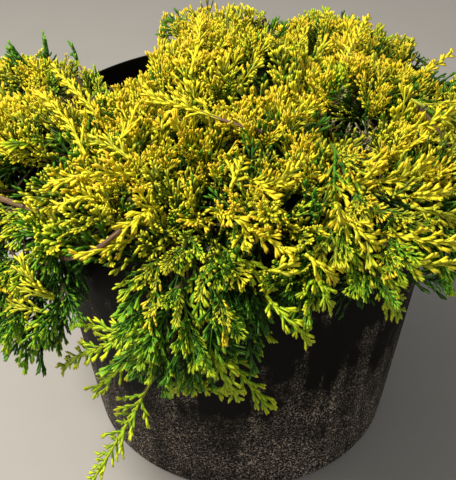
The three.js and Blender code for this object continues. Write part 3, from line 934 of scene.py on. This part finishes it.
def spray_shapes():
    """A few shapes of each build: full and slim ones for the skin and spare ones for inside."""
    length, width = SPRAY_LENGTH, SPRAY_WIDTH
    return dict(
        full=[spray_shape(11 + i, 10 + i % 2, length, width * (0.9 + 0.07 * (i % 4))) for i in range(8)],
        slim=[spray_shape(51 + i, 11, length * 1.12, width * 0.66, 0.8, sides=4) for i in range(4)],
        spare=[spray_shape(31 + i, 6, length, width * 1.25, 0.5) for i in range(4)],
    )


def along_path(made, length, places, facing):
    """A shape that grows along X, bent so that its axis follows a row of places."""
    corners, faces, step = made
    run = lengths_along(places)
    run *= length / run[-1]
    tangents = np.gradient(places, axis=0)
    tangents /= np.linalg.norm(tangents, axis=1)[:, None]
    flats = np.array([flat_across(tangent, facing) for tangent in tangents])
    wides = np.cross(flats, tangents)

    def read(rows):
        return np.stack([np.interp(corners[:, 0], run, rows[:, k]) for k in range(3)], 1)

    past_end = np.clip(corners[:, :1] - length, 0, None) * tangents[-1]
    bent = read(places) + past_end + read(wides) * corners[:, 1:2] + read(flats) * corners[:, 2:3]
    return bent, faces, step


# Where sprays and twigs go


def is_open(point):
    """Whether a point lies in one of the places that stay open."""
    for start, end, radius in OPEN_RUNS:
        start = np.array(start, float)
        line = np.array(end) - start
        share = min(max((point - start) @ line / (line @ line), 0), 1)
        if np.linalg.norm(point - start - line * share) < radius:
            return True
    return False


def wave_field(points, seed, size):
    """A smooth field between about -1 and 1 whose patches are about size millimetres across."""
    draw = np.random.default_rng(seed)
    total = 0
    for _ in range(6):
        way = unit(draw.normal(size=3)) * draw.uniform(0.7, 1.4) * 2 * math.pi / size / 2
        total = total + np.sin(np.atleast_2d(points) @ way + draw.uniform(0, 6.3))
    return total / 2.6


def kind_for(mass, tip, way, clear, draw):
    """The kind of spray at a tip: golden toward the sun, green low down and between masses, partly as the
    plant's own colour and partly as painted light and painted shade.
    """
    # Painted light: higher sprays, sprays that face the light and sprays clear of other masses get golder,
    # lighter tints, on top of the plant's own gold.
    golden = HEIGHT_GOLD * smooth(tip[2], *LOW_HEIGHTS) + TOP_GOLD * smooth(tip[2], *TOP_HEIGHTS)
    golden += SUN_SIDE_PAINTED_LIGHT * smooth(way @ unit(np.array(SUN_WAY)), -0.3, 0.9)
    golden += CLEAR_GOLD * clear + LEAST_GOLD
    golden += PATCH_GOLD * wave_field(tip, 5, PATCH_SIZE)[0] + draw.normal(0, CHANCE_GOLD)
    # Painted shade: sprays near the spots of painted shade get darker tints that are more green.
    painted_shade = max(
        amount * (1 - smooth(np.linalg.norm(tip - place), radius * 0.4, radius))
        for place, radius, amount in PAINTED_SHADE_SPOTS
    )
    if mass.tier.name == "skirt":
        golden -= SKIRT_LOSS + painted_shade * SKIRT_PAINTED_SHADE_SHARE
    else:
        golden -= painted_shade
    if draw.random() < RUSTY_SHARE:
        return "rusty"
    return next((kind for limit, kind in KIND_LIMITS if golden > limit), "shaded")


def inner_kind(mass, draw):
    """The kind of a spray deep in a mass, whose dark tints are painted shade: one by chance from those of its
    tier.
    """
    kinds = ("inner", "shaded") if mass.tier.name == "skirt" else ("olive", "olive", "shaded")
    return kinds[int(draw.integers(len(kinds)))]


def flat_across(along, wanted):
    """The part of a wanted facing that is square to a direction."""
    flat = wanted - along * (wanted @ along)
    if flat @ flat < 1e-3:
        flat = np.cross(along, np.array([0.3, 0.8, 0.5]))
    return unit(flat)


def in_hollow(tip):
    return any(np.linalg.norm(tip - place) < radius for place, radius in HOLLOWS)


def fitted(mass, start, ray, size):
    """The size at which a spray ends on its mass's skin and clear of the rim, if that is smaller."""
    for share in (1, 0.92, 0.84, 0.76, 0.68, 0.6, 0.52):
        end = start + ray * size * share * SPRAY_LENGTH
        is_clear = mass.tier.name != "skirt" or end @ mass.outward > RIM_RADIUS - 3
        if is_clear and depth_in(mass, end)[0] <= TIP_DEPTH[mass.tier.name]:
            break
    return size * share


def tuft_sprays(mass, tuft, others, draw):
    """The sprays of one tuft: one straight on, the others leaning away round it. Some places stay open."""
    is_skirt = mass.tier.name == "skirt"
    length = draw.uniform(*SPRAY_SIZES)
    sprays = []
    for k in range(SIDE_SPRAYS[mass.tier.name] + 1):
        along, root, size = tuft.along, tuft.root, length
        if k > 0:
            lean = math.radians(draw.uniform(*SIDE_LEAN))
            around = turned(flat_across(along, tuft.way + UP * 0.3), along, k * GOLDEN_ANGLE + tuft.roll * 6)
            along = unit(tuft.along * math.cos(lean) + around * math.sin(lean))
            root = tuft.root + tuft.along * tuft.back * draw.uniform(*SIDE_SETBACK)
            size = length * draw.uniform(*SIDE_SIZES)
        size = fitted(mass, root, along, size)
        tip = root + along * size * SPRAY_LENGTH
        room = min(depth_in(other, tip)[0] for other in others)
        if room < LEAST_ROOM or (not is_skirt and tip[2] < POT_HEIGHT + 3):
            continue
        if any(is_open(mix(root, tip, share)) for share in (0.3, 0.55, 0.8, 1.0)):
            continue
        flat = flat_across(along, tuft.way + UP * 0.25 + draw.normal(0, FACING_SCATTER, 3))
        is_buried = tuft.open_air < LEAST_OPEN_AIR or depth_in(mass, tip)[0] < BURIED_DEPTH
        if tuft.is_dead or in_hollow(tip):
            if draw.random() < BARE_SHARE:
                continue
            kind = "dead" if draw.random() < DEAD_SHARE else "dry"
            size *= DEAD_SIZE
        else:
            kind = kind_for(mass, tip, unit(tuft.way + flat * 0.4), smooth(room, LEAST_ROOM, 1.0), draw)
            if is_buried:
                kind = inner_kind(mass, draw)
        build = "spare" if is_buried else ("slim" if draw.random() < SLIM_SHARE else "full")
        sprays.append(SimpleNamespace(
            build=build, shape=int(draw.integers(1000)), root=root, along=along, flat=flat, size=size,
            kind=kind, is_mirrored=draw.random() < 0.5,
        ))
    return sprays


def inner_sprays(mass, way, reach, draw):
    """A sparse inner tuft in the dark tints of painted shade, so that no gap in the skin shows empty space."""
    sprays = []
    for _ in range(2):
        along = unit(way + draw.normal(0, 0.45, 3))
        root = mass.middle + way * reach * 0.05
        flat = flat_across(along, draw.normal(0, 1, 3))
        size = min(0.9, reach * 0.72 / SPRAY_LENGTH)
        if not is_open(root + along * size * SPRAY_LENGTH):
            kind = inner_kind(mass, draw)
            sprays.append(SimpleNamespace(
                build="spare", shape=int(draw.integers(1000)), root=root, along=along, flat=flat, size=size,
                kind=kind, is_mirrored=False,
            ))
    return sprays


def grow_mass(mass, masses):
    """Sprays and twigs of one mass: ways at the golden angle from its middle, each with a tuft at its end."""
    draw = seeded(mass.seed)
    fine = np.random.default_rng(mass.seed)
    tier = mass.tier
    others = [other for other in masses if other is not mass]
    foot, half_way = foot_of(mass), mix(foot_of(mass), mass.middle, 0.5)
    sprays, twigs = [], [(foot, half_way, 1.7, 1.5), (half_way, mass.middle, 1.5, 1.1)]
    for i in range(tier.ways):
        forward = 1 - 2 * (i + 0.5) / tier.ways
        turn = i * GOLDEN_ANGLE + 0.6 * draw()
        side = math.sqrt(1 - forward * forward)
        way = mass.grow * forward + mass.across * side * math.cos(turn) + mass.normal * side * math.sin(turn)
        skin = skin_run(mass, way)
        own = own_run(mass, masses, way)
        roll = draw() - 0.5
        tip_share = 0.95 + 0.05 * draw()
        if own < skin * LEAST_OWN_SHARE or (forward < -0.75 and own < skin):
            continue
        reach = min(skin * tip_share, own * 0.98)
        tip = mass.middle + way * reach
        away, forth, light = (share[tier.name] for share in (OUT_SHARE, FORWARD_SHARE, LIGHT_SHARE))
        along = unit(way * away + mass.grow * forth + UP * light)
        back = min(SPRAY_LENGTH * 0.85, reach * 0.85)
        root = tip - along * back
        tuft = SimpleNamespace(
            way=way, along=along, root=root, back=back, roll=roll, is_dead=in_hollow(tip),
            open_air=smooth(own / skin, 0.7, 1.1),
        )
        made = tuft_sprays(mass, tuft, others, fine)
        sprays += made
        twigs += [(mix(root, mass.middle, 0.12), spray.root + spray.along * 3, 0.8, 0.7) for spray in made]
        if made:
            twigs.append((mass.middle + way, root + along * 4, 1.1, 0.8))
        if reach > 30:
            sprays += inner_sprays(mass, way, reach, fine)
    return sprays, twigs


def shoot_along(places, width, kind, seed):
    """A shoot bent along a row of places, with the wood's own side of it toward the soil."""
    length = np.linalg.norm(np.diff(places, axis=0), axis=1).sum()
    branches = max(5, round(length / SHOOT_BRANCH_SPACING))
    made = spray_shape(seed, branches, length, width, fine=SHOOT_FINENESS, is_shoot=True)
    outward = np.array([places[-1][0], places[-1][1], 60.0])
    return SimpleNamespace(placed=along_path(made, length, places, unit(outward)), kind=kind)


def grow_shoot(mass, tip, bow, width, kind, seed):
    """A long shoot that bows from a mass's middle to its tip, with the twigs that carry it."""
    tip = np.array(tip, float)
    bowed = mix(mass.middle, tip, 0.5) + mass.outward * bow
    share = np.linspace(0, 1, 25)[:, None]
    places = mix(mix(mass.middle, bowed, share), mix(bowed, tip, share), share)
    twigs = [(places[k], places[k + 2], 1.4 - 0.05 * k, 1.3 - 0.05 * k) for k in range(0, 14, 2)]
    return shoot_along(places[7:], width, kind, seed), twigs


def laid_shoot(width, kind, bare_share, path, seed):
    """A shoot that lies on the crown along its own path, past the bare foot of its stem."""
    bare = round(20 * bare_share)
    return shoot_along(centripetal(path, 20)[max(0, bare - 3):], width, kind, seed)


def placed(spray, shapes):
    """Corners, triangles and tint steps of a spray in its place."""
    if hasattr(spray, "placed"):
        return spray.placed
    made = shapes[spray.build]
    corners, faces, step = made[spray.shape % len(made)]
    wide = np.cross(spray.flat, spray.along)
    if spray.is_mirrored:
        wide = -wide
        faces = faces[:, ::-1]
    axes = np.array([spray.along, wide, spray.flat])
    return spray.root + corners @ axes * spray.size, faces, step


def foliage_groups(sprays, shapes, limit):
    """The sprays joined into groups under a limit of triangles: corners, triangles and slots."""
    names = list(TINTS)
    table = {kind: np.array([names.index(tint) for tint in row]) for kind, row in KINDS.items()}
    groups, count = [[]], 0
    for spray in sprays:
        corners, faces, step = placed(spray, shapes)
        if count + len(faces) > limit:
            groups.append([])
            count = 0
        groups[-1].append((corners, faces, table[spray.kind][step]))
        count += len(faces)
    return [joined(group) for group in groups]


def bare_stems():
    """Each bare stem and the bare foot of each laid shoot, as places and radii."""
    rows = [(radius, centripetal(path, 16)) for radius, path in BARE_STEMS]
    for _, _, bare_share, path in LAID_SHOOTS:
        if bare_share > 0:
            rows.append((LAID_STEM_RADIUS, centripetal(path, 20)[:round(20 * bare_share) + 2]))
    return [(places, np.linspace(radius, radius * 0.75, len(places))) for radius, places in rows]


def twig_arrays(twigs):
    """The twigs joined, apart from the ones that are too short to show."""
    return joined([stem(root, tip, *radii) for root, tip, *radii in twigs if np.linalg.norm(tip - root) > 1])


# Pot and soil


def wall_radius(z):
    return FOOT_RADIUS + (RIM_RADIUS - RIM_OVERHANG - FOOT_RADIUS) * z / (POT_HEIGHT - RIM_DEPTH)


def rounded(profile, radius, steps=4):
    """A profile whose corners are rounded by up to a radius, the ends kept."""
    made = [np.array(profile[0], float)]
    for before, here, after in zip(profile, profile[1:], profile[2:]):
        before, here, after = (np.array(p, float) for p in (before, here, after))
        cut = min(radius, np.linalg.norm(before - here) * 0.4, np.linalg.norm(after - here) * 0.4)
        first = here + unit(before - here) * cut
        last = here + unit(after - here) * cut
        for k in range(steps + 1):
            t = k / steps
            made.append((1 - t) ** 2 * first + 2 * t * (1 - t) * here + t * t * last)
    made.append(np.array(profile[-1], float))
    return np.array(made)


def lathe(name, profile, segments, material):
    """A turned closed body from a profile of radius and height whose two ends are on the axis."""
    inner = profile[1:-1]
    turn = np.arange(segments) * 2 * math.pi / segments
    rings = np.stack([
        inner[:, 0][:, None] * np.cos(turn), inner[:, 0][:, None] * np.sin(turn),
        np.repeat(inner[:, 1][:, None], segments, 1),
    ], 2).reshape(-1, 3)
    corners = np.vstack([rings, [0, 0, profile[0][1]], [0, 0, profile[-1][1]]])
    return mesh_object(name, corners, tube_faces(len(inner), segments), [material])


def pot_profile():
    """The wall in section: a stepped foot, a thin line above it, and a rolled rim."""
    rim_foot = POT_HEIGHT - RIM_DEPTH
    thin = WALL_THICKNESS
    wall = [(wall_radius(z), z) for z in np.linspace(9, rim_foot, 30)]
    inside = [(wall_radius(z) - thin, z) for z in np.linspace(rim_foot, thin + 1, 16)]
    return [
        (0, 1.4), (FOOT_RADIUS - 14, 1.4), (FOOT_RADIUS - 11, 0), (FOOT_RADIUS - 1.5, 0), (FOOT_RADIUS, 1.6),
        (wall_radius(6) - 0.1, 6), (wall_radius(7) - 0.9, 7.2), *wall,
        (RIM_RADIUS - 1, rim_foot + 1.5), (RIM_RADIUS - 0.4, rim_foot + 4), (RIM_RADIUS, POT_HEIGHT - 1.5),
        (RIM_RADIUS - 1, POT_HEIGHT), (RIM_RADIUS - thin, POT_HEIGHT),
        (RIM_RADIUS - thin - 0.6, rim_foot + 3),
        *inside, (0, thin + 1),
    ]


def crumb_tree(material):
    """Geometry Nodes: crumbs scattered over a surface, each turned and sized by chance, then made real."""
    tree = bpy.data.node_groups.new("soil_crumbs", "GeometryNodeTree")
    tree.interface.new_socket("Surface", in_out="INPUT", socket_type="NodeSocketGeometry")
    for name in ("Density", "Smallest", "Largest"):
        tree.interface.new_socket(name, in_out="INPUT", socket_type="NodeSocketFloat")
    tree.interface.new_socket("Geometry", in_out="OUTPUT", socket_type="NodeSocketGeometry")

    def node(kind, inputs, **settings):
        """The outputs of a node: its settings come first, then the values or links of its inputs."""
        made = tree.nodes.new(kind)
        for name, value in settings.items():
            setattr(made, name, value)
        for name, value in inputs.items():
            if isinstance(value, bpy.types.NodeSocket):
                tree.links.new(value, made.inputs[name])
            else:
                made.inputs[name].default_value = value
        return made.outputs

    given = node("NodeGroupInput", {})
    spots = node("GeometryNodeDistributePointsOnFaces", {
        "Mesh": given["Surface"], "Density": given["Density"], "Seed": 4,
    })
    crumb = node("GeometryNodeMeshIcoSphere", {"Radius": 0.5, "Subdivisions": 1})
    sizes = {2: given["Smallest"], 3: given["Largest"], "Seed": 8}
    size = node("FunctionNodeRandomValue", sizes, data_type="FLOAT")
    turn = node("FunctionNodeRandomValue", {1: (6.28, 6.28, 6.28), "Seed": 9}, data_type="FLOAT_VECTOR")
    crumbs = node("GeometryNodeInstanceOnPoints", {
        "Points": spots["Points"], "Instance": crumb["Mesh"], "Scale": size[1], "Rotation": turn[0],
    })
    real = node("GeometryNodeRealizeInstances", {"Geometry": crumbs["Instances"]})
    painted = node("GeometryNodeSetMaterial", {"Geometry": real["Geometry"], "Material": material})
    node("NodeGroupOutput", {"Geometry": painted["Geometry"]})
    return tree


def made_real(name, carrier, tree, values, material):
    """What a Geometry Nodes tree makes on a carrier, as a plain mesh object; the carrier is removed."""
    modifier = carrier.modifiers.new("nodes", "NODES")
    modifier.node_group = tree
    for item in tree.interface.items_tree:
        if item.in_out == "INPUT" and item.name in values:
            modifier[item.identifier] = values[item.name]
    depsgraph = bpy.context.evaluated_depsgraph_get()
    mesh = bpy.data.meshes.new_from_object(carrier.evaluated_get(depsgraph))
    mesh.name = name
    mesh.materials.clear()
    mesh.materials.append(material)
    made = link(name, mesh)
    bpy.data.objects.remove(carrier, do_unlink=True)
    return made


def soil_crumbs(material):
    """Peat crumbs on the soil, inside the pot's wall."""
    radius = wall_radius(SOIL_TOP) - WALL_THICKNESS - 4
    height = SOIL_TOP + 0.2
    turn = np.arange(CRUMB_RING) * 2 * math.pi / CRUMB_RING
    ring = np.stack([np.cos(turn) * radius, np.sin(turn) * radius, np.full(CRUMB_RING, height)], 1)
    faces = [(k, (k + 1) % CRUMB_RING, CRUMB_RING) for k in range(CRUMB_RING)]
    carrier = mesh_object("crumb_carrier", np.vstack([ring, [0, 0, height]]), faces, [material])
    return made_real("soil_crumbs", carrier, crumb_tree(material), CRUMB_VALUES, material)


# Camera, light and floor


def place_camera():
    pitch, yaw, roll = (math.radians(a) for a in (CAMERA_PITCH, CAMERA_YAW, CAMERA_ROLL))
    forward = np.array([math.sin(yaw) * math.cos(pitch), math.cos(yaw) * math.cos(pitch), -math.sin(pitch)])
    level = np.array([math.cos(yaw), -math.sin(yaw), 0])
    above = np.cross(level, forward)
    right = level * math.cos(roll) + above * math.sin(roll)
    top = above * math.cos(roll) - level * math.sin(roll)
    data = bpy.data.cameras.new("camera")
    data.lens = CAMERA_LENS
    data.sensor_width = CAMERA_SENSOR
    data.clip_start = 0.01
    data.clip_end = 20
    camera = link("camera", data)
    rows = [(right[k], top[k], -forward[k], CAMERA_PLACE[k] * METRES) for k in range(3)]
    camera.matrix_world = Matrix([*rows, (0, 0, 0, 1)])
    bpy.context.scene.camera = camera


def area_light(name, place, size, power, colour):
    data = bpy.data.lights.new(name, "AREA")
    data.shape = "DISK"
    data.size = size
    data.energy = power
    data.color = colour
    lamp = link(name, data)
    lamp.location = place
    lamp.rotation_euler = (Vector(LIT_POINT) - Vector(place)).to_track_quat("-Z", "Y").to_euler()


def studio():
    """One soft key light from above and a little to the left, a weak fill, and a plain pale floor."""
    for light in LIGHTS:
        area_light(*light)
    world = bpy.data.worlds.new("studio")
    world.use_nodes = True
    sky = world.node_tree.nodes["Background"].inputs
    sky[0].default_value = (*SKY_COLOUR, 1)
    sky[1].default_value = SKY_STRENGTH
    bpy.context.scene.world = world
    bpy.context.scene.view_settings.view_transform = "Standard"
    shader = Shader("pale_floor")
    tone = shader.noise(60, detail=2)
    material = shader.finish(base_color=shader.blend(tone, *FLOOR_TONES), roughness=0.9)
    corners = [(x * FLOOR_HALF, y * FLOOR_HALF, FLOOR_LEVEL) for x, y in ((-1, -1), (1, -1), (1, 1), (-1, 1))]
    mesh_object("floor", corners, [(0, 1, 2, 3)], [material])


# The whole plant


def dress(piece, slot, *nodes):
    """Puts a piece on the part's one body, in place of some of its nodes. Its slot is not used."""
    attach(piece, "root")
    if nodes:
        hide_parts(*nodes)


def build():
    place_camera()
    studio()

    plastic = scuffed_plastic()
    soil = potting_soil()
    bark_material = bark()
    dress(lathe("nursery_pot", rounded(pot_profile(), 0.8), POT_SEGMENTS, plastic), "pot_plastic", "pot")
    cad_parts["soil"].material_slots[0].material = soil
    dress(soil_crumbs(soil), "potting_soil")

    masses = crown_masses()
    boughs = [bough_for(mass) for mass in masses if mass.tier.bough_radius > 0]
    woody_nodes = ["trunk", *(f"bough_{bough.mass.name}" for bough in boughs)]
    dress(trunk_and_boughs(boughs, bark_material), "bark", *woody_nodes)

    sprays, twigs = [], []
    for mass in sorted(masses, key=lambda m: (m.tier.name, m.azimuth)):
        made_sprays, made_twigs = grow_mass(mass, masses)
        sprays += made_sprays
        twigs += made_twigs
    by_name = {mass.name: mass for mass in masses}
    for i, (name, *shoot) in enumerate(SHOOTS):
        made, made_twigs = grow_shoot(by_name[name], *shoot, seed=SHOOT_SEED + i)
        sprays.append(made)
        twigs += made_twigs
    sprays += [laid_shoot(*shoot, seed=LAID_SEED + i) for i, shoot in enumerate(LAID_SHOOTS)]

    tints = [plain("leaf_" + name, colour, LEAF_ROUGHNESS) for name, colour in TINTS.items()]
    leaf_nodes = [f"foliage_{mass.name}" for mass in masses]
    for i, (corners, faces, slots) in enumerate(foliage_groups(sprays, spray_shapes(), PIECE_LIMIT)):
        piece = mesh_object(f"scale_leaves_{i + 1}", corners, faces, tints, slots)
        dress(piece, "foliage", *(leaf_nodes if i == 0 else ()))
    corners, faces, _ = twig_arrays(twigs)
    twig_brown = plain("twig_brown", TWIG_COLOUR, TWIG_ROUGHNESS)
    dress(mesh_object("twigs", corners, faces, [twig_brown]), "bark")


build()
